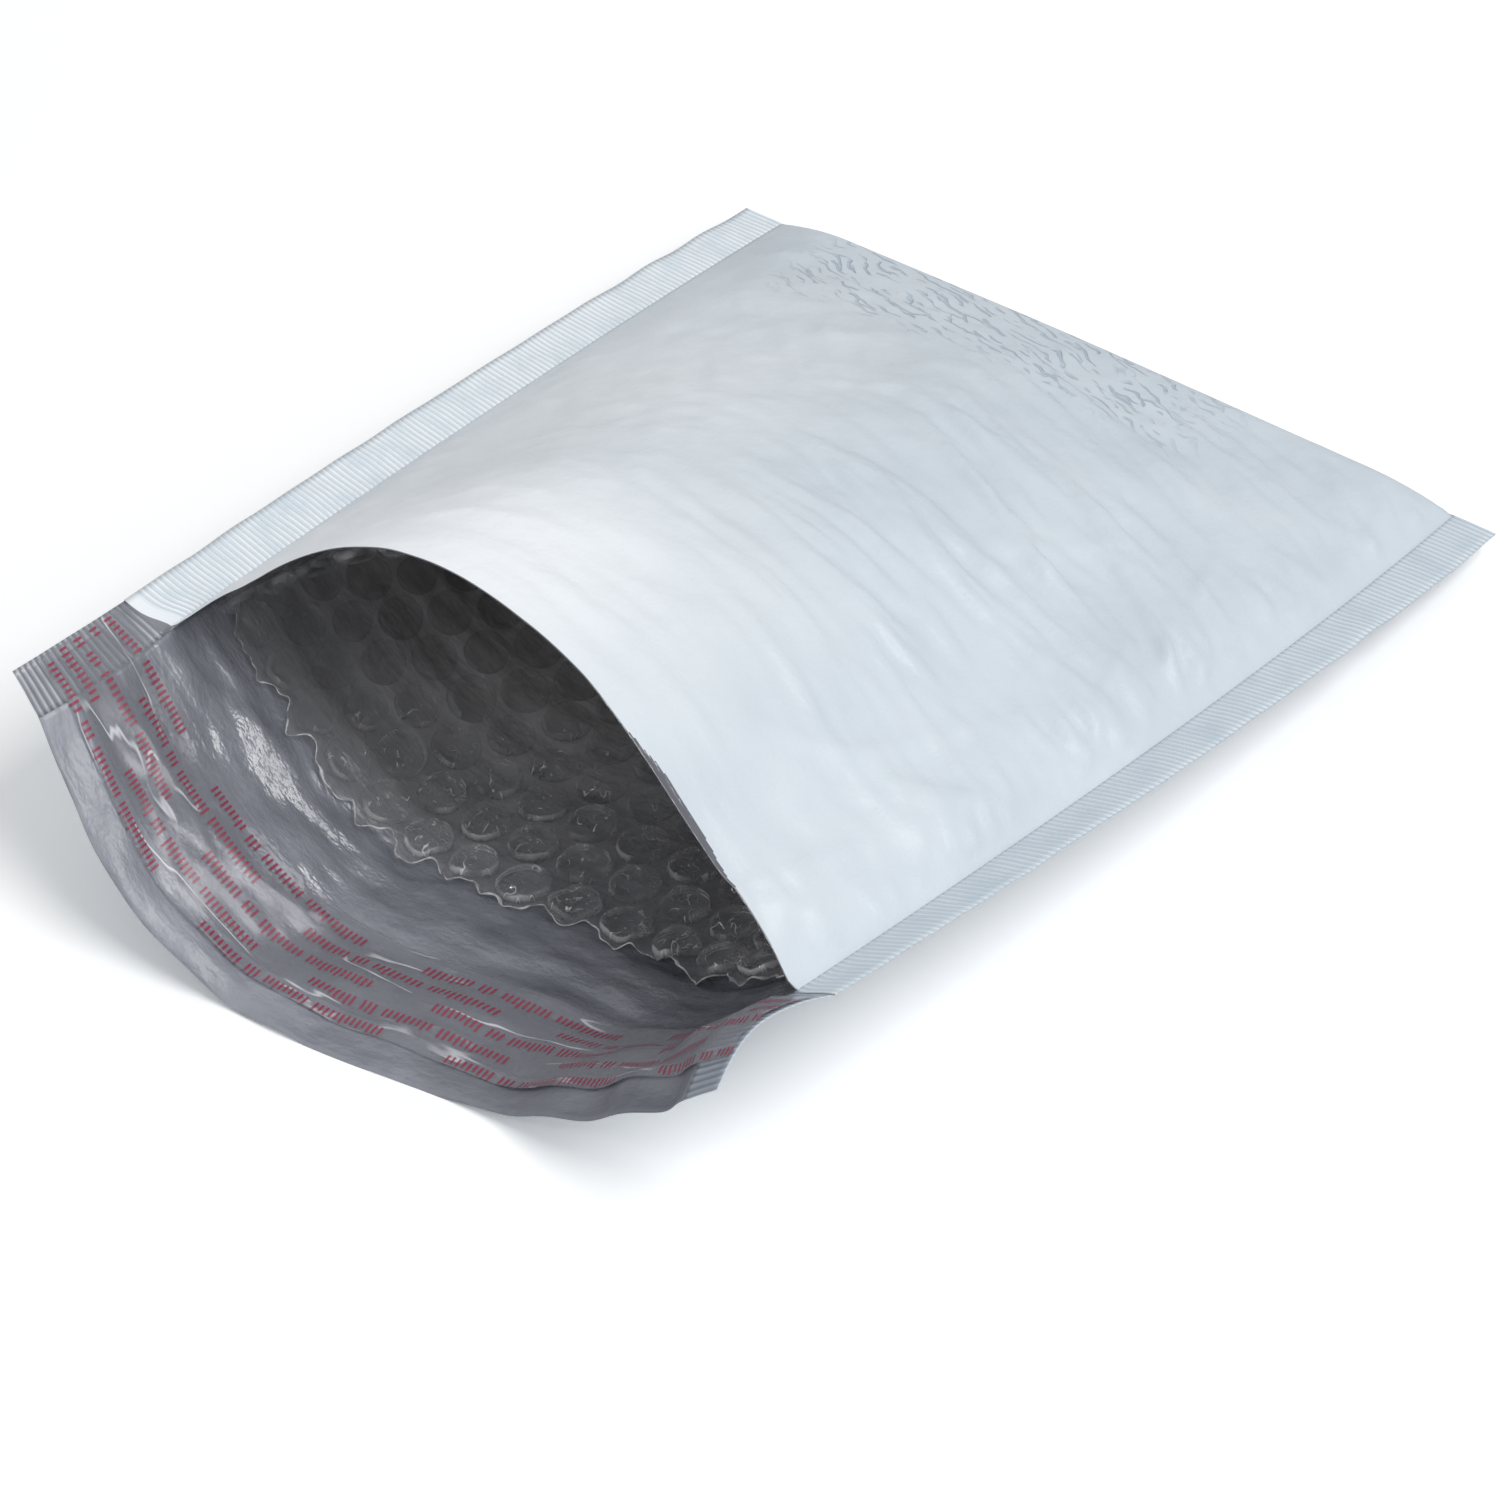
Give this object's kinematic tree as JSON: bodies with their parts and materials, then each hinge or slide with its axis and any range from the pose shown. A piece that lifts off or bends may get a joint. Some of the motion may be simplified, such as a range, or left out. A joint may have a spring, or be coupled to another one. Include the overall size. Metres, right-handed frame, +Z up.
{
  "type": "padded envelope",
  "caption": "Film mailing envelope lined with bubble film, on its back with its mouth held open and its closing flap unfolded, still with the liner on the adhesive.",
  "frame": {"origin": "on the table, under the middle of the mouth", "axes": "+X across the width, -Y out of the mouth toward the flap, +Z up"},
  "size_m": [0.197, 0.2583, 0.0795],
  "materials": {
    "poly_film": "satin bluish-white polyethylene film, silver-grey and glossy on its inner side",
    "bubble_film": "clear glossy bubble film",
    "adhesive": "clear tacky hot-melt adhesive",
    "siliconed_film": "clear siliconed film with rows of short dark red marks"
  },
  "bodies": {
    "root": {"outer_film": "poly_film", "bubble_lining": "bubble_film", "adhesive_strip": "adhesive", "release_liner": "siliconed_film"}
  },
  "joints": []
}
